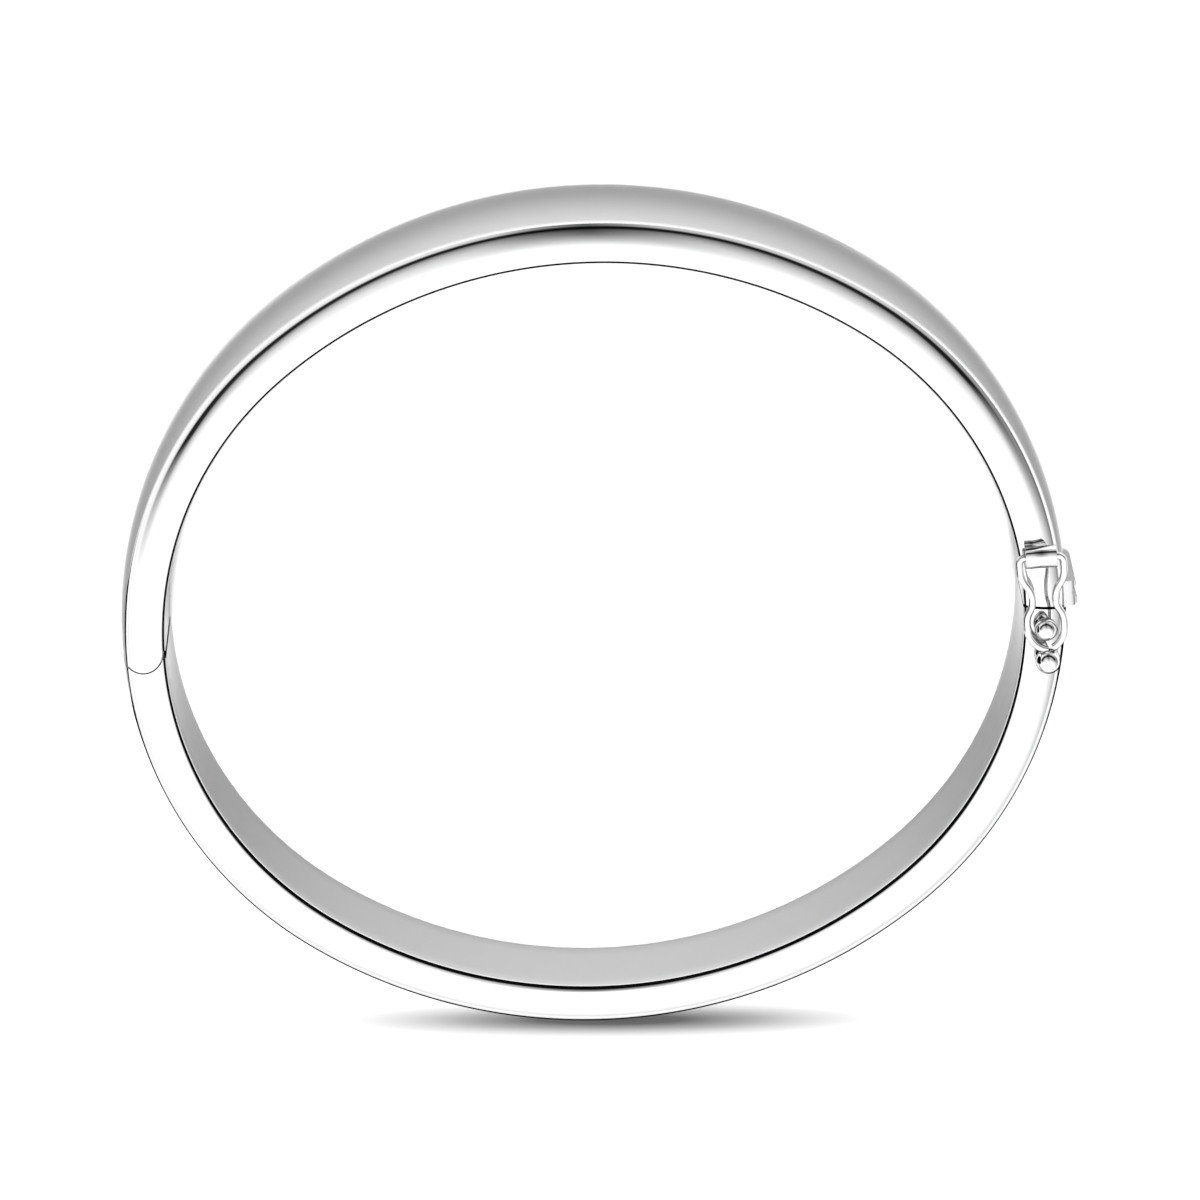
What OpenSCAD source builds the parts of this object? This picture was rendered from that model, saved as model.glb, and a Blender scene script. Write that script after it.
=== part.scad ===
// Oval hinged bangle, plain polished metal, closed and lying on one rim.
// The bangle's own frame has its mid-plane at z = 0, its long axis along X,
// the hinge at -X, the clasp at +X and the wide front half at +Y.
// Module lying() then tips it so that the lower rim lies flat on z = 0.

/* [Oval] */
// Inside length of the oval, from hinge to clasp
inner_length = 60; // [58:0.5:62]
// Inside width of the oval, from front to back
inner_width = 53; // [52:0.5:54]

/* [Band] */
// Width of the band at the middle of the front half
front_width = 12.9; // [12.3:0.1:13.3]
// Width of the band at the middle of the back half
back_width = 9.1; // [8.9:0.1:10]
// Thickness of the band from the inner face to the crown
thickness = 3.25; // [3.2:0.05:3.4]
// Radius of the crown across the outer face
crown_r = 26; // [22:1:30]
// Wall of the hollow band
wall = 0.45; // [0.4:0.05:0.5]

/* [Rim] */
// Flat part of the rim, measured out from the inner face
rim_flat = 0.9; // [0.8:0.1:1]
// Radius that rounds the rim over towards the outer face
shoulder_r = 2.6; // [2.4:0.1:2.8]
// Smaller radius that turns the shoulder further down
corner_r = 1.5; // [1.4:0.1:1.6]
// Small radius between that and the slope down to the crown
edge_r = 0.35; // [0.3:0.05:0.4]
// Small radius on the inner edge
inner_edge_r = 0.5; // [0.4:0.05:0.6]

/* [Hinge] */
// How far the pivot lies outside the inner face
pivot_depth = 1.7; // [1.65:0.05:1.75]
// How far the pivot lies in front of the long axis
pivot_y = 0.95; // [0.85:0.05:1.05]
// Radius of the round knuckles
knuckle_r = 1.48; // [1.42:0.02:1.5]
// Width of the middle knuckle
middle_knuckle = 5.2; // [4:0.2:6]
// Radius of the hidden pin
pin_r = 0.45; // [0.4:0.05:0.5]
// Length of the hidden pin
pin_length = 8.8; // [8:0.1:9]

/* [Clasp] */
// Where the joint line crosses the middle of the band
joint_y = -0.9; // [-1:0.05:-0.8]
// Slope of the joint line from inside to outside, in degrees
joint_slope = -9.5; // [-11:0.5:-8]
// Gap left at the joint line
joint_gap = 0.2; // [0.15:0.05:0.25]
// Length of the push bar across the band
push_length = 8.1; // [7:0.1:8.2]
// Depth of the push bar from its inner to its outer face
push_depth = 1.5; // [1.3:0.1:1.6]
// Height of the push bar round the band
push_height = 1.8; // [1.6:0.05:1.8]
// Thickness of the two leaves of the spring
leaf = 0.3; // [0.25:0.05:0.35]
// Width of the two leaves of the spring
leaf_width = 7.4; // [6:0.1:7.4]

/* [Safety catch] */
// Outer radius of the tube that the catch turns in
tube_r = 0.78; // [0.74:0.02:0.8]
// Length of that tube
tube_length = 2.2; // [2:0.1:2.2]
// Radius of the wire
wire_r = 0.26; // [0.24:0.01:0.28]
// Radius of the ball that the catch closes round
ball_r = 0.82; // [0.78:0.01:0.84]
// Radius of the grip ball at the end of the wire
grip_r = 0.9; // [0.85:0.01:0.92]

/* [Hidden] */
$fn = 72;
silver = [0.86, 0.87, 0.88];

end_x = inner_length / 2;
mid_width = (front_width + back_width) / 2;
taper = atan((front_width - back_width) / 2 / (inner_width + 2 * thickness));
deep = 20;
far = 60;
slack = 0.1;
solder = 0.04;

// The oval is four arcs, which meet on rays with the slope of a 3-4-5 triangle.
oval_ray = [0.6, 0.8];
end_shift = 0.75 * (inner_length - inner_width);
side_shift = inner_length - inner_width;
end_r = end_x - end_shift;
side_r = inner_width / 2 + side_shift;

// Directions from each rounding's centre to the point where it ends.
shoulder_way = [0.6, 0.8];
corner_way = [0.8, 0.6];
edge_way = [0.936, 0.352];
inner_way = [-0.96, 0.28];
shoulder_centre = [rim_flat, -shoulder_r];
shoulder_end = shoulder_centre + shoulder_r * shoulder_way;
corner_centre = shoulder_end - corner_r * shoulder_way;
corner_end = corner_centre + corner_r * corner_way;
edge_centre = corner_end - edge_r * corner_way;
edge_end = edge_centre + edge_r * edge_way;
slope_end = edge_end + 6 * [edge_way[1], -edge_way[0]];
inner_centre = [inner_edge_r, -inner_edge_r];
inner_start = inner_centre + inner_edge_r * inner_way;
inner_end = inner_start - 2 * [inner_way[1], -inner_way[0]];
section_low = -mid_width / 2 - 1.6;
hollow_shift = [-0.3, -wall];

pivot = [-end_x - pivot_depth, pivot_y];
socket_r = knuckle_r + slack;
pin_slack = 0.03;
hinge_block = 2.4;
outer_lip_y = -0.3;
inner_lip_y = 0.4;

end_plate_y = joint_y - 1.1;
leaf_x = end_x + 0.75;
fold_r = 0.45;
fold_y = 3.9;
foot_y = end_plate_y - 0.35;
foot_r = 0.3;
push_x = end_x + 2.35;
push_y = joint_y - 0.45;
push_corner_r = 0.3;
push_end_r = 0.6;
flute_r = 0.42;
flute_y = push_y + 0.95;
flute_lift = 0.08;
notch_slack = 0.15;

catch_x = end_x + 1.42;
tube_y = 3.05;
tube_bore_r = wire_r + 0.04;
ball_y = -2.25;
catch_height = tube_r - solder;
foot_depth = 0.4;
catch_lean = 1.4;

// The wire's right leg: it leaves the tube, runs along the upper loop, in to the waist,
// out to the lower loop and round to the middle. u is across the catch, v along it.
axle_bend_r = 0.4;
upper_u = 1.545;
upper_v = 0.91;
upper_bend_r = 1.825;
upper_ray = [0.8, 0.6];
upper_bend = [upper_u - upper_bend_r, upper_v];
waist_bend = upper_bend + 2 * upper_bend_r * upper_ray;
lower_bend_r = 1.5;
lower_ray = [0.8432, -0.5376];
leave_bend = [waist_bend[0] - upper_bend_r + lower_bend_r, waist_bend[1]];
lower_bend = leave_bend - 2 * lower_bend_r * lower_ray;
lower_u = lower_bend[0] + lower_bend_r;
close_v = 5.2;
close_r = 1.6;
grip_v = 7.6;

// Tips the bangle so that its lower rim lies on z = 0
module lying() {
    translate([0, 0, mid_width / 2 * cos(taper)])
        rotate([taper, 0, 0])
            children();
}

// Places things on the upper rim, with z = 0 on its plane
module on_rim() {
    translate([0, 0, mid_width / 2])
        rotate([taper, 0, 0])
            children();
}

module prism() {
    linear_extrude(height = 2 * deep, center = true)
        children();
}

module upright(place, r, height) {
    translate([place[0], place[1], 0])
        cylinder(r = r, h = height, center = true);
}

// Sweeps a section round a centre, inside a wedge whose sides pass through that centre
module swept_wedge(centre, r, wedge) {
    intersection() {
        translate([centre[0], centre[1], 0])
            rotate_extrude()
                translate([r, 0])
                    children();
        prism()
            polygon(wedge);
    }
}

// Sweeps a section round the front half of the oval and a little past both its ends
module half_sweep() {
    side_centre = [0, -side_shift];
    seam = side_centre + 2 * far * oval_ray;
    swept_wedge(side_centre, side_r, [side_centre, seam, [-seam[0], seam[1]]])
        children();
    for (side = [0, 1])
        mirror([side, 0, 0])
            swept_wedge([end_shift, 0], end_r, [side_centre, seam, [seam[0], side_centre[1]]])
                children();
}

module oval() {
    side_centre = [0, -side_shift];
    seam = side_centre + 2 * far * oval_ray;
    for (side = [-1, 1])
        translate([side * end_shift, 0])
            circle(end_r);
    for (side = [0, 1])
        mirror([0, side, 0])
            intersection() {
                translate(side_centre)
                    circle(side_r);
                polygon([side_centre, seam, [-seam[0], seam[1]]]);
            }
}

// Everything below the rim: inner edge, flat, shoulder, edge and slope
module rim_shape() {
    polygon([
        [inner_end[0], section_low], inner_end, inner_start, [inner_edge_r, 0],
        [rim_flat, 0], shoulder_end, corner_end, edge_end, slope_end, [slope_end[0], section_low]
    ]);
    translate(inner_centre)
        circle(inner_edge_r);
    translate(edge_centre)
        circle(edge_r);
    intersection() {
        translate(shoulder_centre)
            circle(shoulder_r);
        polygon([
            shoulder_centre - [0.3, 0], shoulder_centre + [-0.3, 5],
            shoulder_centre + [0, 5], shoulder_centre + 5 * shoulder_way
        ]);
    }
    intersection() {
        translate(corner_centre)
            circle(corner_r);
        polygon([corner_centre, corner_centre + 5 * shoulder_way, corner_centre + 5 * corner_way]);
    }
}

module band_section() {
    intersection() {
        rim_shape();
        translate([thickness - crown_r, -mid_width / 2])
            circle(crown_r);
    }
}

module hollow_section() {
    intersection() {
        translate(hollow_shift)
            rim_shape();
        translate([thickness - crown_r, -mid_width / 2])
            circle(crown_r - wall);
        translate([wall, section_low])
            square([5, -section_low]);
    }
}

// Sweeps a section that hangs from the upper rim, down to the mid-plane, and mirrors it.
// back = 0 makes the front half and back = 1 the back half.
module two_rims(back) {
    for (side = [0, 1])
        mirror([0, 0, side])
            intersection() {
                on_rim()
                    mirror([0, back, 0])
                        half_sweep()
                            children();
                translate([-far, -far, 0])
                    cube([2 * far, 2 * far, deep]);
            }
}

module solid_half(back) {
    difference() {
        two_rims(back)
            band_section();
        prism()
            oval();
    }
}

function joint_line(x) = joint_y + tan(joint_slope) * (x - end_x - thickness / 2);

module front_outline() {
    polygon([
        [-far, pivot_y], [20, pivot_y], [20, joint_line(20)],
        [far, joint_line(far)], [far, far], [-far, far]
    ]);
    translate(pivot)
        circle(knuckle_r);
}

module back_outline() {
    polygon([
        [-far, outer_lip_y], [pivot[0], outer_lip_y], [pivot[0], inner_lip_y],
        [20, inner_lip_y], [20, joint_line(20) - joint_gap],
        [far, joint_line(far) - joint_gap], [far, -far], [-far, -far]
    ]);
}

// The tube, with a solder foot that fills the space over the falling shoulder
module catch_tube() {
    translate([catch_x, tube_y, 0])
        difference() {
            union() {
                translate([0, 0, catch_height])
                    rotate([0, 90, 0])
                        cylinder(r = tube_r, h = tube_length, center = true);
                translate([-tube_length / 2 + 0.2, -0.35, -foot_depth])
                    cube([tube_length - 0.7, 0.7, foot_depth + 0.3]);
            }
            translate([0, 0, catch_height])
                rotate([0, 90, 0])
                    cylinder(r = tube_bore_r, h = tube_length + 1, center = true);
        }
}

module catch_ball() {
    translate([catch_x, ball_y, ball_r - solder])
        sphere(ball_r);
    translate([catch_x, ball_y, -foot_depth])
        cylinder(r = ball_r / 2, h = foot_depth + 0.3);
}

// Room for the push bar, from low upwards
module push_notch(low) {
    high = push_y + push_height + notch_slack;
    translate([push_x - notch_slack, low, -push_length / 2 - slack])
        cube([5, high - low, push_length + 2 * slack]);
}

module front_half() {
    color(silver)
        lying() {
            difference() {
                intersection() {
                    solid_half(0);
                    prism()
                        front_outline();
                }
                intersection() {
                    two_rims(0)
                        hollow_section();
                    prism()
                        polygon([
                            [-far, pivot_y + hinge_block], [0, pivot_y + hinge_block],
                            [0, -far], [far, -far], [far, far], [-far, far]
                        ]);
                }
                upright(pivot, socket_r, middle_knuckle + 2 * slack);
                upright(pivot, pin_r + pin_slack, pin_length + 2 * slack);
                push_notch(push_y - 2);
            }
            on_rim()
                catch_tube();
        }
}

module back_half() {
    color(silver)
        lying() {
            difference() {
                union() {
                    difference() {
                        intersection() {
                            solid_half(1);
                            prism()
                                back_outline();
                        }
                        for (side = [-1, 1])
                            translate([0, 0, side * (middle_knuckle + deep) / 2])
                                upright(pivot, socket_r, deep);
                    }
                    upright(pivot, knuckle_r, middle_knuckle);
                }
                intersection() {
                    two_rims(1)
                        hollow_section();
                    prism()
                        polygon([
                            [-far, pivot_y - hinge_block], [0, pivot_y - hinge_block],
                            [0, end_plate_y], [far, end_plate_y], [far, -far], [-far, -far]
                        ]);
                }
                upright(pivot, pin_r + slack / 2, middle_knuckle + 1);
                push_notch(push_y - slack);
                translate([leaf_x - slack / 2, end_plate_y - 0.2, -leaf_width / 2 - slack / 2])
                    cube([leaf + slack, 2, leaf_width + slack]);
            }
            on_rim()
                catch_ball();
        }
}

module hinge_pin() {
    color(silver)
        lying()
            upright(pivot, pin_r, pin_length);
}

// A folded leaf with its foot under the back half's end plate
module leaf_outline() {
    fold = [leaf_x + fold_r, fold_y];
    translate([leaf_x, foot_y])
        square([leaf, fold_y - foot_y]);
    translate([leaf_x + leaf / 2, foot_y])
        circle(foot_r);
    difference() {
        translate(fold)
            circle(fold_r);
        translate(fold)
            circle(fold_r - leaf);
        translate(fold - [fold_r + 0.5, 2])
            square([2 * fold_r + 1, 2]);
    }
    polygon([
        fold + [fold_r - leaf, 0.05], fold + [fold_r, 0.05],
        [push_x + 0.05, push_y + push_height - 0.1], [push_x + 0.05, push_y + 0.2],
        [push_x + 0.05 - leaf, push_y + 0.2], [push_x + 0.05 - leaf, push_y + push_height - 0.1]
    ]);
}

// The push bar's outline from above, with a thumb flute in its outer face
module push_outline() {
    outer = push_x + push_depth;
    high = push_y + push_height;
    difference() {
        union() {
            translate([push_x, push_y])
                square([push_depth - push_corner_r, push_height]);
            translate([push_x, push_y + push_corner_r])
                square([push_depth, push_height - 2 * push_corner_r]);
            for (y = [push_y + push_corner_r, high - push_corner_r])
                translate([outer - push_corner_r, y])
                    circle(push_corner_r);
        }
        translate([outer + flute_lift, flute_y])
            circle(flute_r);
    }
}

// The push bar, with its two ends rounded towards the outer face
module push_bar() {
    reach = push_depth - push_end_r;
    half = push_length / 2;
    intersection() {
        linear_extrude(height = push_length, center = true)
            push_outline();
        translate([push_x, push_y + push_height + 1, 0])
            rotate([90, 0, 0])
                linear_extrude(height = push_height + 2) {
                    translate([-1, -half])
                        square([1 + reach, push_length]);
                    translate([-1, push_end_r - half])
                        square([1 + push_depth, push_length - 2 * push_end_r]);
                    for (side = [-1, 1])
                        translate([reach, side * (half - push_end_r)])
                            circle(push_end_r);
                }
    }
}

module spring_leaf() {
    color(silver)
        lying() {
            linear_extrude(height = leaf_width, center = true)
                leaf_outline();
            push_bar();
        }
}

// One bend of the wire, between the two directions from and to
module bend(centre, r, from, to) {
    swept_wedge(centre, r, [centre, centre + 8 * from, centre + 8 * to])
        circle(wire_r);
}

module leg(u, from, to) {
    translate([u, from, 0])
        rotate([-90, 0, 0])
            cylinder(r = wire_r, h = to - from);
}

module right_leg() {
    axle = upper_u - axle_bend_r;
    rotate([0, 90, 0])
        cylinder(r = wire_r, h = axle);
    bend([axle, axle_bend_r], axle_bend_r, [0, -1], [1, 0]);
    leg(upper_u, axle_bend_r, upper_v);
    bend(upper_bend, upper_bend_r, [1, 0], upper_ray);
    bend(waist_bend, upper_bend_r, -upper_ray, [-1, 0]);
    bend(leave_bend, lower_bend_r, [-1, 0], -lower_ray);
    bend(lower_bend, lower_bend_r, lower_ray, [1, 0]);
    leg(lower_u, lower_bend[1], close_v);
    swept_wedge([lower_u - close_r, close_v], close_r, [
        [0, close_v], [4, close_v], [4, close_v + 4], [0, close_v + 4]
    ])
        circle(wire_r);
}

module figure_eight() {
    color(silver)
        lying()
            on_rim()
                translate([catch_x, tube_y, catch_height])
                    rotate([-catch_lean, 0, 0])
                        mirror([0, 1, 0]) {
                            for (side = [0, 1])
                                mirror([side, 0, 0])
                                    right_leg();
                            translate([0, grip_v, 0])
                                sphere(grip_r);
                        }
}

front_half();
back_half();
hinge_pin();
spring_leaf();
figure_eight();
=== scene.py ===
"""Looks of the oval hinged bangle: polished metal, a pale floor, soft studio light and the camera."""

import math

import bmesh
import bpy
from mathutils import Matrix, Vector


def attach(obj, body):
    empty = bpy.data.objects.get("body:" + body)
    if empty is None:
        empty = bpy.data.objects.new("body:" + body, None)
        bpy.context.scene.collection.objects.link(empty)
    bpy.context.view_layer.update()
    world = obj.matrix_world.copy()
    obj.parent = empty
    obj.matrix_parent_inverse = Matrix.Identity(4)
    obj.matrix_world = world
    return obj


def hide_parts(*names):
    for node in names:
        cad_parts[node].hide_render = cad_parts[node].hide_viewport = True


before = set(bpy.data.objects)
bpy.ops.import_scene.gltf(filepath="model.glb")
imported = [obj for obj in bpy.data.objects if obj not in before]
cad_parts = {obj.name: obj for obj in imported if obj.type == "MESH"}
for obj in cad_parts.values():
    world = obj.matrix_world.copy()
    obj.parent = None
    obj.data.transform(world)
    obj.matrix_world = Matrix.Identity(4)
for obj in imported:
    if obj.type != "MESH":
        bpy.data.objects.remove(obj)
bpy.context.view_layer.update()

MM = 0.001

# The camera, fitted to the photograph in the bangle's own frame: turns in degrees about X, Y and Z,
# distance and side offsets in mm, and the focal length in pixels of the 1200 pixel frame. What it
# sees lies between two distances in metres.
PITCH, YAW, ROLL = 16.03, 0.74, 4.50
DISTANCE = 668.0
OFFSET_X, OFFSET_Y = 0.45, 0.63
PHOTO_SIDE = 1200
FOCAL_PIXELS = 9491.0
SENSOR = 36.0
NEAREST, FARTHEST = 0.01, 20.0

# Sizes of the bangle in mm, the same as in its solids. In the bangle's own frame the mid-plane is
# at z = 0, the hinge is at -X, the clasp at +X and the wide front half at +Y.
INNER_LENGTH, INNER_WIDTH = 60.0, 53.0
FRONT_WIDTH, BACK_WIDTH = 12.9, 9.1
THICKNESS, WALL = 3.25, 0.45
HALF_WIDTH = (FRONT_WIDTH + BACK_WIDTH) / 4
BAND_SPAN = INNER_WIDTH + 2 * THICKNESS
TAPER = math.atan((FRONT_WIDTH - BACK_WIDTH) / 2 / BAND_SPAN)
MID_HEIGHT = HALF_WIDTH * math.cos(TAPER)

# The band's section, from the inner face over the rim to the crown: a small edge, a flat, and bends
# of four radii. Each next bend takes over where the section has turned by so many degrees.
INNER_EDGE_R, RIM_FLAT = 0.5, 0.9
SHOULDER_R, CORNER_R, EDGE_R, BLEND_R = 2.6, 1.5, 0.35, 1.2
SHOULDER_TURN, CORNER_TURN, EDGE_TURN = 36.87, 53.13, 69.39
CROWN_STEPS, FACE_STEPS = 24, 6

# The oval's four arcs: two round the ends of its length and two round its sides. The shifts of
# their centres are as 3 to 4, so they meet where the outward direction is (0.6, 0.8).
SIDE_SHIFT = INNER_LENGTH - INNER_WIDTH
END_SHIFT = 0.75 * SIDE_SHIFT
END_R = INNER_LENGTH / 2 - END_SHIFT
SIDE_R = INNER_WIDTH / 2 + SIDE_SHIFT
MEETING_X = 0.6

# Angles in degrees between which the halves are made before they are cut to their outlines, and
# those of the hollow behind the clasp. The outlines step from the hinge to the clasp at STEP_X.
FRONT_ARC, BACK_ARC, HOLLOW_ARC = (-9, 189), (173, 366), (-14, 40)
HOLLOW_INSET = 0.3
STEP_X = 20.0

# The hinge: its axis, the middle knuckle, and the ends of the back half's outer and inner faces.
PIVOT_DEPTH = 1.7
PIVOT = Vector((-INNER_LENGTH / 2 - PIVOT_DEPTH, 0.95, 0.0))
KNUCKLE_R, KNUCKLE_WIDTH, SLACK = 1.48, 5.2, 0.1
OUTER_LIP_Y, INNER_LIP_Y = -0.3, 0.4

# The clasp: the slanted joint between the halves, the notch round the push bar, and the leaf's slot.
JOINT_Y, JOINT_SLOPE, JOINT_GAP = -0.9, -9.5, 0.2
PUSH_X, PUSH_Y, PUSH_HEIGHT, PUSH_LENGTH = 32.35, -1.35, 1.8, 8.1
NOTCH_SLACK, NOTCH_DEPTH, NOTCH_RUN_OUT = 0.15, 5.0, 2.0
LEAF_X, LEAF, LEAF_WIDTH = 30.75, 0.3, 7.4
LEAF_SLOT_Y = -2.2

# The safety catch on the upper rim, with the ball that it closes round, and their solder feet.
CATCH_X, TUBE_Y, BALL_Y = 31.42, 3.05, -2.25
TUBE_R, TUBE_BORE_R, TUBE_LENGTH, TUBE_BEVEL = 0.78, 0.3, 2.2, 0.06
BALL_R, GRIP_R, WIRE_R, SOLDER = 0.82, 0.9, 0.26, 0.04
CATCH_HEIGHT, CATCH_LEAN = TUBE_R - SOLDER, 1.4
FOOT_LOW, FOOT_HIGH = -0.4, 0.3
FOOT_HALF, FOOT_LEFT_GAP, FOOT_RIGHT_GAP = 0.35, 0.2, 0.5

# Lengths that reach past the whole bangle, and the smallest turn in degrees that shows as an edge.
FAR, DEEP = 60.0, 20.0
SHARP_FROM = 24

# The polish: how tall its waves are in metres, and how much the hairlines add to the roughness.
WAVE_HEIGHT, HAIRLINES = 0.000001, 0.03
WAVE_SCALE, HAIRLINE_SCALE, HAIRLINE_STRETCH = 120.0, 900.0, 6.0

# Light that the metal mirrors, by the direction that it comes from: pairs of a coordinate of that
# direction and a share of the full light. In front (+Y) it falls off down to a dark gap above the
# horizon, with a dim spot in the middle, and at the back it stays bright down to the horizon.
FRONT_BY_Z = [
    (-1.0, 0.8), (0.1, 0.85), (0.25, 0.75), (0.36, 0.2), (0.4, 0.01), (0.56, 0.02), (0.63, 0.33),
    (0.7, 0.52), (0.8, 0.76), (0.9, 0.95), (1.0, 1.2),
]
BACK_BY_Z = [(-1.0, 0.8), (0.0, 0.8), (0.15, 0.95), (0.3, 1.15), (1.0, 1.3)]
FRONT_SHARE_BY_Y = [(-0.2, 0.0), (0.0, 0.45), (0.25, 1.0)]
DIM_BY_X = [
    (-0.45, 0.0), (-0.3, 0.15), (-0.17, 0.35), (-0.08, 0.75), (0.05, 1.0), (0.15, 0.75),
    (0.25, 0.4), (0.7, 0.1),
]
DIM_BY_Y = [
    (-0.22, 0.0), (-0.03, 0.08), (0.15, 0.27), (0.32, 0.48), (0.5, 0.66), (0.62, 0.79), (0.78, 0.85),
]
FALL_OFF_BY_X = [
    (-1.0, 1.1), (-0.5, 1.05), (0.3, 0.98), (0.7, 0.88), (0.88, 0.55), (0.95, 0.35), (1.0, 0.2),
]
FULL_LIGHT = 1.5
BACKDROP = 1.0

# Suns that light the floor: three keys and a wide fill, each with its lean from straight above
# towards +X and +Y, its soft angle in degrees and its strength.
KEY_LEANS, KEY_SOFT, KEY_STRENGTH = ((-0.02, 0.06), (0.02, 0.15), (0.0, 0.24)), 4.0, 1.25
FILL_LEAN, FILL_SOFT, FILL_STRENGTH = (0.0, 0.15), 130.0, 1.8

# The floor's half width in metres, and the soft contact shadow painted into the floor's colour under
# the bangle's lowest edge in the picture, in mm: its middle, its half length and half width, and how
# dark the painted shadow makes the floor from its middle to its rim.
FLOOR_HALF = 1.5
PAINTED_SHADOW_AT = (-1.3, -31.8)
PAINTED_SHADOW_SIZE = (34.8, 2.45)
PAINTED_SHADOW_BY_REACH = [
    (0.0, 0.07), (0.15, 0.1), (0.3, 0.3), (0.42, 0.5), (0.54, 0.67), (0.65, 0.78), (0.77, 0.87),
    (1.0, 1.0),
]

# Black cards that only the metal sees, in mm: a slanted tube inside the bangle, and a strip just
# above the floor round the back half, between two angles in degrees. The strip starts as a point by
# the hinge, opens and lies further out at first, and swings in to lie close to the band.
TUBE_CARD_X, TUBE_CARD_Y, TUBE_CARD_TOP, TUBE_CARD_SLANT = 14.0, 12.0, 16.75, 3.25
TUBE_CARD_SIDES = 96
STRIP_FROM, STRIP_TO, STRIP_STEP = 164, 352, 2
STRIP_GAP, STRIP_WIDTH, STRIP_HEIGHT = 0.4, 20.0, 0.03
STRIP_CLOSE_FROM, STRIP_EASE, STRIP_SWING = 194, 10.0, 4.5


def new_material(name):
    material = bpy.data.materials.new(name)
    material.use_nodes = True
    return material, material.node_tree.nodes, material.node_tree.links


def set_inputs(node, values):
    for socket, value in values.items():
        node.inputs[socket].default_value = value


def add_node(nodes, kind, values):
    """A new node of a kind with some of its inputs set."""
    node = nodes.new(kind)
    set_inputs(node, values)
    return node


def add_math(nodes, links, operation, first, second):
    """The result of an operation on two values, each a number or another node's output."""
    node = nodes.new("ShaderNodeMath")
    node.operation = operation
    for socket, value in zip(node.inputs, (first, second)):
        if isinstance(value, (int, float)):
            socket.default_value = value
        else:
            links.new(value, socket)
    return node.outputs[0]


def add_ramp(nodes, links, value, pairs):
    """A grey ramp through the pairs, over values from -1 to 1."""
    share = add_node(nodes, "ShaderNodeMapRange", {"From Min": -1.0, "From Max": 1.0})
    links.new(value, share.inputs["Value"])
    ramp = nodes.new("ShaderNodeValToRGB")
    elements = ramp.color_ramp.elements
    while len(elements) < len(pairs):
        elements.new(0.5)
    for element, (at, light) in zip(elements, pairs):
        element.position = (at + 1) / 2
        element.color = (light, light, light, 1.0)
    links.new(share.outputs["Result"], ramp.inputs["Fac"])
    return ramp.outputs["Color"]


def add_bump(nodes, links, height, strength, distance):
    """Bumps of a height under the material's own shader."""
    bump = add_node(nodes, "ShaderNodeBump", {"Strength": strength, "Distance": distance})
    links.new(height, bump.inputs["Height"])
    links.new(bump.outputs["Normal"], nodes["Principled BSDF"].inputs["Normal"])


def polished_metal(name, base, edge_tint, roughness):
    """Mirror-polished metal: faint waves from the polishing wheel, and hairlines in the gloss."""
    material, nodes, links = new_material(name)
    shader = nodes["Principled BSDF"]
    set_inputs(shader, {
        "Metallic": 1.0,
        "Base Color": (*base, 1.0),
        "Specular Tint": (edge_tint, edge_tint, edge_tint, 1.0),
    })

    place = nodes.new("ShaderNodeTexCoord")
    stretch = add_node(nodes, "ShaderNodeMapping", {"Scale": (1.0, 1.0, HAIRLINE_STRETCH)})
    links.new(place.outputs["Object"], stretch.inputs["Vector"])
    hairlines = add_node(nodes, "ShaderNodeTexNoise", {"Scale": HAIRLINE_SCALE, "Detail": 4.0})
    links.new(stretch.outputs["Vector"], hairlines.inputs["Vector"])
    gloss = add_node(nodes, "ShaderNodeMapRange", {
        "From Min": 0.3, "From Max": 0.75, "To Min": roughness, "To Max": roughness + HAIRLINES,
    })
    links.new(hairlines.outputs["Fac"], gloss.inputs["Value"])
    links.new(gloss.outputs["Result"], shader.inputs["Roughness"])

    waves = add_node(nodes, "ShaderNodeTexNoise", {"Scale": WAVE_SCALE, "Detail": 1.0})
    links.new(place.outputs["Object"], waves.inputs["Vector"])
    add_bump(nodes, links, waves.outputs["Fac"], 1.0, WAVE_HEIGHT)
    return material


def matte(name, darkest, lightest):
    """A matte surface with a faint cloudiness, and what is needed to add to it."""
    material, nodes, links = new_material(name)
    shader = nodes["Principled BSDF"]
    set_inputs(shader, {"Specular IOR Level": 0.0})
    cloud = add_node(nodes, "ShaderNodeTexNoise", {"Scale": 6.0})
    shade = add_node(nodes, "ShaderNodeMapRange", {"To Min": darkest, "To Max": lightest})
    links.new(cloud.outputs["Fac"], shade.inputs["Value"])
    links.new(shade.outputs["Result"], shader.inputs["Base Color"])
    rough = add_node(nodes, "ShaderNodeMapRange", {"To Min": 0.85, "To Max": 0.95})
    links.new(cloud.outputs["Fac"], rough.inputs["Value"])
    links.new(rough.outputs["Result"], shader.inputs["Roughness"])
    add_bump(nodes, links, cloud.outputs["Fac"], 0.1, 0.0001)
    return material, nodes, links, shade.outputs["Result"]


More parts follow.
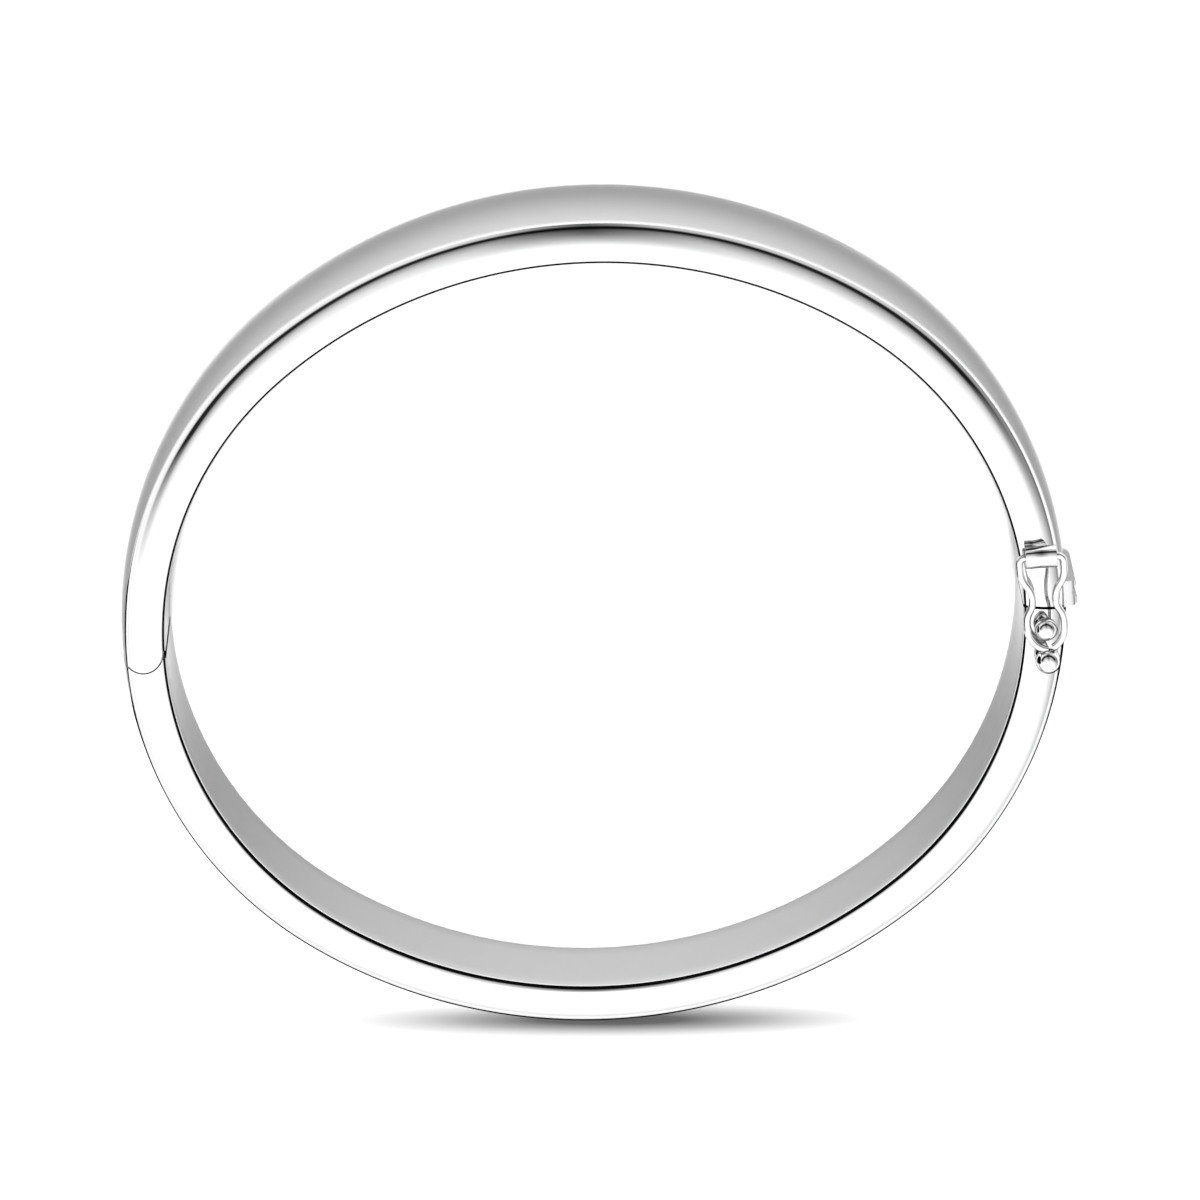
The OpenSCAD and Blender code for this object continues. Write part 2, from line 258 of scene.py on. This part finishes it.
def floor_material():
    """A pale floor with the soft contact shadow of the bangle's lowest edge painted into its colour.
    """
    material, nodes, links, shade = matte("pale_floor", 0.88, 0.92)
    place = nodes.new("ShaderNodeTexCoord")
    lay = add_node(nodes, "ShaderNodeMapping", {
        "Location": (PAINTED_SHADOW_AT[0] * MM, PAINTED_SHADOW_AT[1] * MM, 0.0),
        "Rotation": (0.0, 0.0, math.radians(-ROLL)),
        "Scale": (PAINTED_SHADOW_SIZE[0] * MM, PAINTED_SHADOW_SIZE[1] * MM, 1.0),
    })
    lay.vector_type = "TEXTURE"
    links.new(place.outputs["Object"], lay.inputs["Vector"])
    reach = nodes.new("ShaderNodeVectorMath")
    reach.operation = "LENGTH"
    links.new(lay.outputs["Vector"], reach.inputs[0])
    # Painted shadow: the floor's colour is darkened towards the shadow's middle, whatever the lamps
    # do.
    shadow = add_ramp(nodes, links, reach.outputs["Value"], PAINTED_SHADOW_BY_REACH)
    shadow_painted_colour = add_math(nodes, links, "MULTIPLY", shade, shadow)
    links.new(shadow_painted_colour, nodes["Principled BSDF"].inputs["Base Color"])
    return material


def make_floor():
    corners = [
        (-FLOOR_HALF, -FLOOR_HALF, 0.0), (FLOOR_HALF, -FLOOR_HALF, 0.0),
        (FLOOR_HALF, FLOOR_HALF, 0.0), (-FLOOR_HALF, FLOOR_HALF, 0.0),
    ]
    floor = mesh_object("floor", corners, [(0, 1, 2, 3)])
    floor.data.materials.append(floor_material())


def make_card(name, low_edge, high_edge):
    """A black band between two edges of points in mm, seen only in the metal."""
    count = len(low_edge)
    points = [Vector(point) * MM for point in low_edge + high_edge]
    faces = [(k, k + 1, count + k + 1, count + k) for k in range(count - 1)]
    card = mesh_object(name, points, faces)
    card.data.materials.append(card_black)
    for ray in ("camera", "diffuse", "shadow"):
        setattr(card, "visible_" + ray, False)


def make_cards():
    """The tube and the strip whose reflections draw the dark lines along the rims."""
    turns = [2 * math.pi * k / TUBE_CARD_SIDES for k in range(TUBE_CARD_SIDES + 1)]
    tube = [(TUBE_CARD_X * math.cos(turn), TUBE_CARD_Y * math.sin(turn)) for turn in turns]
    tops = [TUBE_CARD_TOP - TUBE_CARD_SLANT * math.sin(turn) for turn in turns]
    low_edge = [(x, y, 0.0) for x, y in tube]
    high_edge = [(x, y, top) for (x, y), top in zip(tube, tops)]
    make_card("tube_card", low_edge, high_edge)

    near, far = [], []
    for angle in range(STRIP_FROM, STRIP_TO + 1, STRIP_STEP):
        foot, out = oval_at(math.radians(angle))
        swung = min(1.0, max(0.0, (STRIP_CLOSE_FROM - angle) / STRIP_EASE))
        opened = min(1.0, (angle - STRIP_FROM) / STRIP_EASE)
        far_away = STRIP_GAP + STRIP_WIDTH * (1 + swung)
        near_away = far_away + (STRIP_GAP + STRIP_SWING * swung - far_away) * opened
        for edge, away in ((near, near_away), (far, far_away)):
            edge.append(foot + (THICKNESS + away) * out + Vector((0.0, 0.0, STRIP_HEIGHT)))
    make_card("strip_card", near, far)


def make_world():
    """The studio that the metal reflects, bright behind the back half and dark low in front."""
    world = bpy.data.worlds.new("studio")
    bpy.context.scene.world = world
    world.use_nodes = True
    world.cycles_visibility.diffuse = False
    nodes, links = world.node_tree.nodes, world.node_tree.links

    place = nodes.new("ShaderNodeTexCoord")
    split = nodes.new("ShaderNodeSeparateXYZ")
    links.new(place.outputs["Generated"], split.inputs["Vector"])
    across, along, up = (split.outputs[axis] for axis in "XYZ")
    back = add_ramp(nodes, links, up, BACK_BY_Z)
    front_less = add_math(nodes, links, "SUBTRACT", add_ramp(nodes, links, up, FRONT_BY_Z), back)
    front_share = add_ramp(nodes, links, along, FRONT_SHARE_BY_Y)
    front_less = add_math(nodes, links, "MULTIPLY", front_less, front_share)
    light = add_math(nodes, links, "ADD", back, front_less)
    fall_off = add_ramp(nodes, links, across, FALL_OFF_BY_X)
    light = add_math(nodes, links, "MULTIPLY", light, fall_off)
    dim_across = add_ramp(nodes, links, across, DIM_BY_X)
    dim_along = add_ramp(nodes, links, along, DIM_BY_Y)
    dimmed = add_math(nodes, links, "MULTIPLY", dim_across, dim_along)
    undimmed = add_math(nodes, links, "SUBTRACT", 1.0, dimmed)
    light = add_math(nodes, links, "MULTIPLY", light, undimmed)
    background = nodes["Background"]
    links.new(light, background.inputs["Color"])
    set_inputs(background, {"Strength": FULL_LIGHT})

    plain_colour = {"Color": (BACKDROP, BACKDROP, BACKDROP, 1.0)}
    plain = add_node(nodes, "ShaderNodeBackground", plain_colour)
    seen = nodes.new("ShaderNodeLightPath")
    mix = nodes.new("ShaderNodeMixShader")
    links.new(seen.outputs["Is Camera Ray"], mix.inputs["Fac"])
    links.new(background.outputs["Background"], mix.inputs[1])
    links.new(plain.outputs["Background"], mix.inputs[2])
    links.new(mix.outputs["Shader"], nodes["World Output"].inputs["Surface"])


def make_sun(name, lean, soft_angle, strength):
    """A soft sun that lights the floor, with no spot of its own in the metal."""
    data = bpy.data.lights.new(name, "SUN")
    data.angle = math.radians(soft_angle)
    data.energy = strength
    sun = bpy.data.objects.new(name, data)
    sun.rotation_euler = Vector((*lean, 1.0)).to_track_quat("Z", "Y").to_euler()
    sun.visible_glossy = False
    bpy.context.scene.collection.objects.link(sun)


def lying():
    """From the bangle's own frame to the shared one, both in mm."""
    return Matrix.Translation(Vector((0.0, 0.0, MID_HEIGHT))) @ Matrix.Rotation(TAPER, 4, "X")


def on_rim():
    """From the upper rim's plane to the bangle's own frame."""
    return Matrix.Translation(Vector((0.0, 0.0, HALF_WIDTH))) @ Matrix.Rotation(TAPER, 4, "X")


def shift_by(*offset):
    return Matrix.Translation(Vector(offset))


def arc(centre, radius, start, end, steps):
    """Points of an arc in a section, with angles in degrees from the outward axis."""
    for step in range(steps + 1):
        angle = math.radians(start + (end - start) * step / steps)
        yield centre + radius * Vector((math.cos(angle), math.sin(angle)))


def rim_section(crown_tilt, shift=Vector((0.0, 0.0)), inner=0.0):
    """The section from the inner face over the rim to where the crown starts, from its plane down."""
    def turned(turn):
        return Vector((math.sin(math.radians(turn)), math.cos(math.radians(turn))))

    points = []
    if inner:
        points.append(Vector((inner, shift.y)))
    else:
        points += arc(Vector((INNER_EDGE_R, -INNER_EDGE_R)), INNER_EDGE_R, 180, 90, 14)
        points.append(Vector(((INNER_EDGE_R + RIM_FLAT) / 2, 0.0)))
    centre = Vector((RIM_FLAT, -SHOULDER_R))
    radius, turn = SHOULDER_R, 0.0
    # Each bend ends at a turn, in so many steps, where the bend of the next radius takes over.
    bends = (
        (CORNER_R, SHOULDER_TURN, 22), (EDGE_R, CORNER_TURN, 12), (BLEND_R, EDGE_TURN, 8),
        (0.0, 90 - crown_tilt, 8),
    )
    for next_radius, next_turn, steps in bends:
        bend = [point + shift for point in arc(centre, radius, 90 - turn, 90 - next_turn, steps)]
        points += bend[1:] if turn else bend
        centre = centre + (radius - next_radius) * turned(next_turn)
        radius, turn = next_radius, next_turn
    return points


def oval_at(angle):
    """The point on the inner oval whose outward direction has this angle, and that direction."""
    out = Vector((math.cos(angle), math.sin(angle), 0.0))
    if abs(out.x) <= MEETING_X:
        return Vector((0.0, math.copysign(SIDE_SHIFT, -out.y), 0.0)) + SIDE_R * out, out
    return Vector((math.copysign(END_SHIFT, out.x), 0.0, 0.0)) + END_R * out, out


def section_at(angle, shift=Vector((0.0, 0.0)), inner=0.0, wall=0.0):
    """One closed section of the band in the bangle's frame, which is the same above and below.

    It runs over the upper rim, down the crown, round the lower rim and up the inner face. The crown
    is one arc from rim to rim that bulges to the band's thickness, and its tilt at the rims is
    found in a few rounds from a first guess.
    """
    foot, out = oval_at(angle)
    tilt = 9.0
    for _ in range(6):
        rim = rim_section(tilt - math.degrees(TAPER) * out.y, shift, inner)
        upper = [on_rim() @ (foot + out * point.x + Vector((0.0, 0.0, point.y))) for point in rim]
        reach = THICKNESS - wall - (upper[-1] - foot).dot(out)
        tilt = 2 * math.degrees(math.atan2(reach, upper[-1].z))
    radius = upper[-1].z / math.sin(math.radians(tilt))
    crown = []
    for step in range(1, CROWN_STEPS):
        lift = math.radians(tilt * (1 - 2 * step / CROWN_STEPS))
        outward = radius * (math.cos(lift) - math.cos(math.radians(tilt)))
        place = upper[-1] + out * outward
        crown.append(Vector((place.x, place.y, radius * math.sin(lift))))
    lower = [Vector((point.x, point.y, -point.z)) for point in reversed(upper)]
    face = [lower[-1].lerp(upper[0], step / FACE_STEPS) for step in range(1, FACE_STEPS)]
    return upper + crown + lower + face


def mesh_object(name, points, faces):
    mesh = bpy.data.meshes.new(name)
    mesh.from_pydata(points, [], faces)
    piece = bpy.data.objects.new(name, mesh)
    bpy.context.scene.collection.objects.link(piece)
    return piece


def band_arc(name, start, end, **hollow):
    """A closed length of the band between two angles in degrees, one section a degree."""
    count = round(end - start)
    angles = [math.radians(start + step) for step in range(count + 1)]
    sections = [section_at(angle, **hollow) for angle in angles]
    around = len(sections[0])
    faces = []
    for row in range(count):
        here, there = row * around, (row + 1) * around
        for k in range(around):
            after = (k + 1) % around
            faces.append((here + k, here + after, there + after, there + k))
    faces.append(tuple(reversed(range(around))))
    faces.append(tuple(count * around + k for k in range(around)))
    return mesh_object(name, [point for section in sections for point in section], faces)


def prism(name, outline, low=-DEEP, high=DEEP):
    """A prism on an outline that runs counter-clockwise, seen from above."""
    count = len(outline)
    points = [Vector((x, y, z)) for z in (low, high) for x, y in outline]
    faces = [tuple(reversed(range(count))), tuple(range(count, 2 * count))]
    for k in range(count):
        after = (k + 1) % count
        faces.append((k, after, count + after, count + k))
    return mesh_object(name, points, faces)


def round_outline(centre, radius, start=0.0, end=360.0, steps=160):
    """Points on a circle from start to end in degrees, without the last one for a full turn."""
    count = steps if end - start == 360 else steps + 1
    turns = [math.radians(start + (end - start) * k / steps) for k in range(count)]
    return [
        (centre[0] + radius * math.cos(turn), centre[1] + radius * math.sin(turn)) for turn in turns
    ]


def block(name, low, high):
    """A straight block between two opposite corners."""
    outline = [(low[0], low[1]), (high[0], low[1]), (high[0], high[1]), (low[0], high[1])]
    return prism(name, outline, low[2], high[2])


def spun(name, profile, place, steps=96):
    """A closed ring or ball: points of radius and height spun round Z, then placed by a matrix."""
    count = len(profile)
    points, faces = [], []
    for k in range(steps):
        turn = 2 * math.pi * k / steps
        points += [Vector((r * math.cos(turn), r * math.sin(turn), z)) for r, z in profile]
    for k in range(steps):
        here, there = k * count, (k + 1) % steps * count
        for i in range(count):
            after = (i + 1) % count
            faces.append((here + i, there + i, there + after, here + after))
    piece = mesh_object(name, [place @ point for point in points], faces)
    weld(piece)
    return piece


def ball(name, radius, place, steps=64):
    turns = [math.radians(90 - 180 * k / steps) for k in range(steps + 1)]
    return spun(name, [(radius * math.cos(turn), radius * math.sin(turn)) for turn in turns], place)


def weld(piece):
    """Joins points that meet, such as a ball's poles, and turns every face outwards."""
    shape = bmesh.new()
    shape.from_mesh(piece.data)
    bmesh.ops.remove_doubles(shape, verts=shape.verts, dist=1e-5)
    bmesh.ops.dissolve_degenerate(shape, edges=shape.edges, dist=1e-6)
    bmesh.ops.recalc_face_normals(shape, faces=shape.faces)
    shape.to_mesh(piece.data)
    shape.free()


def combine(piece, operation, *others):
    """Cuts the others from a piece, joins them to it, or keeps only what it shares with them."""
    for other in others:
        modifier = piece.modifiers.new("shape", "BOOLEAN")
        modifier.solver = "EXACT"
        modifier.operation = operation
        modifier.object = other
    bpy.context.view_layer.update()
    evaluated = piece.evaluated_get(bpy.context.evaluated_depsgraph_get())
    shaped = bpy.data.meshes.new_from_object(evaluated)
    piece.modifiers.clear()
    piece.data = shaped
    for other in others:
        bpy.data.objects.remove(other)


def finish_piece(piece, node, body, material):
    """Brings a piece from mm in the bangle's frame to its place, to stand for a CAD node."""
    weld(piece)
    piece.data.transform(Matrix.Scale(MM, 4) @ lying())
    for face in piece.data.polygons:
        face.use_smooth = True
    piece.data.set_sharp_from_angle(angle=math.radians(SHARP_FROM))
    piece.data.materials.clear()
    piece.data.materials.append(material)
    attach(piece, body)
    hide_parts(node)


def joint_line(x):
    """The clasp's joint, which slants across the band."""
    slope = math.tan(math.radians(JOINT_SLOPE))
    return JOINT_Y + slope * (x - INNER_LENGTH / 2 - THICKNESS / 2)


def upright(name, radius, height):
    """A cylinder on the hinge's axis."""
    return prism(name, round_outline(PIVOT, radius), -height / 2, height / 2)


def push_notch(name, low):
    """Room for the push bar, from a depth along Y and out through the crown."""
    half = PUSH_LENGTH / 2 + SLACK
    high = PUSH_Y + PUSH_HEIGHT + NOTCH_SLACK
    return block(name, (PUSH_X - NOTCH_SLACK, low, -half), (PUSH_X + NOTCH_DEPTH, high, half))


def catch_tube():
    """The tube that the wire turns in, with broken edges, and its solder foot."""
    half = TUBE_LENGTH / 2
    broken = 0.3 * TUBE_BEVEL
    edge = [
        (TUBE_R - TUBE_BEVEL, half), (TUBE_R - broken, half - broken), (TUBE_R, half - TUBE_BEVEL),
    ]
    profile = [(TUBE_BORE_R, half), (TUBE_BORE_R, -half)] + [(r, -z) for r, z in edge] + edge[::-1]
    turned = Matrix.Rotation(math.pi / 2, 4, "Y")
    tube = spun("catch_tube", profile, on_rim() @ shift_by(CATCH_X, TUBE_Y, CATCH_HEIGHT) @ turned)
    low = (-half + FOOT_LEFT_GAP, -FOOT_HALF, FOOT_LOW)
    foot = block("tube_foot", low, (half - FOOT_RIGHT_GAP, FOOT_HALF, FOOT_HIGH))
    foot.data.transform(on_rim() @ shift_by(CATCH_X, TUBE_Y, 0.0))
    return tube, foot


def make_front():
    """The front half, with the knuckle's socket, the clasp's hollow and notch, and the tube."""
    band = band_arc("band_front", *FRONT_ARC)
    outline = [(-FAR, PIVOT.y)] + round_outline(PIVOT, KNUCKLE_R, 180, 360, 90)
    outline += [(STEP_X, PIVOT.y), (STEP_X, joint_line(STEP_X)), (FAR, joint_line(FAR))]
    outline += [(FAR, FAR), (-FAR, FAR)]
    combine(band, "INTERSECT", prism("front_outline", outline))
    inset = Vector((-HOLLOW_INSET, -WALL))
    hollow = band_arc("hollow", *HOLLOW_ARC, shift=inset, inner=WALL, wall=WALL)
    socket = upright("socket", KNUCKLE_R + SLACK, KNUCKLE_WIDTH + 2 * SLACK)
    notch = push_notch("notch", PUSH_Y - NOTCH_RUN_OUT)
    combine(band, "DIFFERENCE", hollow, socket, notch)
    combine(band, "UNION", *catch_tube())
    finish_piece(band, "front_half", "front", band_metal)


def make_back():
    """The back half, with the knuckle, the slot and notch of the clasp, and the catch ball."""
    band = band_arc("band_back", *BACK_ARC)
    outline = [
        (-FAR, OUTER_LIP_Y), (-FAR, -FAR), (FAR, -FAR), (FAR, joint_line(FAR) - JOINT_GAP),
        (STEP_X, joint_line(STEP_X) - JOINT_GAP), (STEP_X, INNER_LIP_Y),
        (PIVOT.x, INNER_LIP_Y), (PIVOT.x, OUTER_LIP_Y),
    ]
    combine(band, "INTERSECT", prism("back_outline", outline))
    sockets = [
        prism("socket", round_outline(PIVOT, KNUCKLE_R + SLACK), *heights)
        for heights in ((KNUCKLE_WIDTH / 2, DEEP), (-DEEP, -KNUCKLE_WIDTH / 2))
    ]
    slot = (LEAF_WIDTH + SLACK) / 2
    near, far = LEAF_X - SLACK / 2, LEAF_X + LEAF + SLACK / 2
    leaf_slot = block("leaf_slot", (near, LEAF_SLOT_Y, -slot), (far, 0.0, slot))
    combine(band, "DIFFERENCE", *sockets, leaf_slot, push_notch("notch", PUSH_Y - SLACK))
    catch_ball = ball("catch_ball", BALL_R, on_rim() @ shift_by(CATCH_X, BALL_Y, BALL_R - SOLDER))
    foot_outline = round_outline((0.0, 0.0), BALL_R / 2, steps=64)
    foot = prism("ball_foot", foot_outline, FOOT_LOW, FOOT_HIGH)
    foot.data.transform(on_rim() @ shift_by(CATCH_X, BALL_Y, 0.0))
    combine(band, "UNION", upright("knuckle", KNUCKLE_R, KNUCKLE_WIDTH), catch_ball, foot)
    finish_piece(band, "back_half", "back", band_metal)


def wire_path(end_across):
    """The wire's right half from the tube to the grip ball, as points across and along the catch.

    A tight bend leaves the tube, two arcs narrow to the waist, two more widen round the catch ball,
    and a last one closes in. Neighbouring arcs meet square to upper_way and lower_way.
    """
    bend_r, upper_across, upper_along, upper_r = 0.4, 1.545, 0.91, 1.825
    lower_r, close_along, close_r = 1.5, 5.2, 1.6
    upper_way, lower_way = (0.8, 0.6), (0.8432, -0.5376)
    upper = Vector((upper_across - upper_r, upper_along))
    waist = upper + 2 * upper_r * Vector(upper_way)
    leave = Vector((waist.x - upper_r + lower_r, waist.y))
    lower = leave - 2 * lower_r * Vector(lower_way)
    close = Vector((lower.x + lower_r - close_r, close_along))
    first = math.degrees(math.atan2(upper_way[1], upper_way[0]))
    second = math.degrees(math.atan2(-lower_way[1], lower_way[0]))
    last = 90.0
    if end_across > close.x:
        last = math.degrees(math.acos((end_across - close.x) / close_r))
    path = [Vector((0.0, 0.0))]
    path += arc(Vector((upper_across - bend_r, bend_r)), bend_r, -90, 0, 12)
    path += arc(upper, upper_r, 0, first, 14)
    path += list(arc(waist, upper_r, 180 + first, 180, 14))[1:]
    path += list(arc(leave, lower_r, 180, 180 - second, 14))[1:]
    path += list(arc(lower, lower_r, -second, 0, 14))[1:]
    path += arc(close, close_r, 0, last, 30)
    if end_across < close.x:
        path.append(Vector((end_across, close.y + close_r)))
    return path


def wire_half(name, side, end_across, place, steps=32):
    """One leg of the wire, on the right side (1) or mirrored to the left (-1)."""
    path = wire_path(end_across)
    points, faces = [], []
    for k, point in enumerate(path):
        along = (path[min(k + 1, len(path) - 1)] - path[max(k - 1, 0)]).normalized()
        if k == 0:
            along = Vector((1.0, 0.0))
        across = Vector((along.y, -along.x))
        for step in range(steps):
            turn = 2 * math.pi * step / steps
            flat = point + across * WIRE_R * math.cos(turn)
            points.append(place @ Vector((side * flat.x, flat.y, WIRE_R * math.sin(turn))))
    for k in range(len(path) - 1):
        here, there = k * steps, (k + 1) * steps
        for step in range(steps):
            after = (step + 1) % steps
            faces.append((here + step, here + after, there + after, there + step))
    faces.append(tuple(range(steps)))
    faces.append(tuple(range((len(path) - 1) * steps, len(path) * steps)))
    piece = mesh_object(name, points, faces)
    weld(piece)
    return piece


def make_catch():
    """The figure-eight wire: its left leg runs into the grip ball, its right leg ends beside it."""
    grip_along, left_end, right_end = 7.6, -0.05, 0.42
    lean = Matrix.Rotation(math.radians(-CATCH_LEAN), 4, "X")
    towards_ball = Matrix.Scale(-1.0, 4, Vector((0.0, 1.0, 0.0)))
    place = on_rim() @ shift_by(CATCH_X, TUBE_Y, CATCH_HEIGHT) @ lean @ towards_ball
    wire = wire_half("safety_catch", -1, left_end, place)
    right = wire_half("right_leg", 1, right_end, place)
    grip = ball("grip_ball", GRIP_R, place @ shift_by(0.0, grip_along, 0.0))
    combine(wire, "UNION", right, grip)
    finish_piece(wire, "figure_eight", "catch", wire_metal)


def make_camera():
    """The camera at the photograph's place in the bangle's own frame, turned along with it."""
    turn = (
        Matrix.Rotation(math.radians(PITCH), 4, "X")
        @ Matrix.Rotation(math.radians(YAW), 4, "Y")
        @ Matrix.Rotation(math.radians(ROLL), 4, "Z")
    )
    seen_from = Matrix.Translation(Vector((OFFSET_X, OFFSET_Y, DISTANCE)) * MM)
    tipped = lying()
    tipped.translation *= MM
    data = bpy.data.cameras.new("camera")
    data.sensor_width = SENSOR
    data.lens = FOCAL_PIXELS / PHOTO_SIDE * SENSOR
    data.clip_start = NEAREST
    data.clip_end = FARTHEST
    camera = bpy.data.objects.new("camera", data)
    camera.matrix_world = tipped @ turn.inverted() @ seen_from
    bpy.context.scene.collection.objects.link(camera)
    bpy.context.scene.camera = camera


def dress(node, material):
    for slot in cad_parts[node].material_slots:
        slot.material = material


band_metal = polished_metal("band_metal", (0.66, 0.66, 0.665), 0.31, 0.04)
wire_metal = polished_metal("wire_metal", (0.66, 0.66, 0.66), 0.35, 0.05)
leaf_metal = polished_metal("leaf_metal", (0.49, 0.49, 0.495), 0.43, 0.05)
card_black = matte("card_black", 0.005, 0.01)[0]
dress("hinge_pin", band_metal)
dress("spring_leaf", leaf_metal)
make_front()
make_back()
make_catch()

make_floor()
make_cards()
make_world()
for number, key_lean in enumerate(KEY_LEANS, 1):
    make_sun(f"key_{number}", key_lean, KEY_SOFT, KEY_STRENGTH)
make_sun("fill", FILL_LEAN, FILL_SOFT, FILL_STRENGTH)
make_camera()
bpy.context.scene.view_settings.view_transform = "Standard"
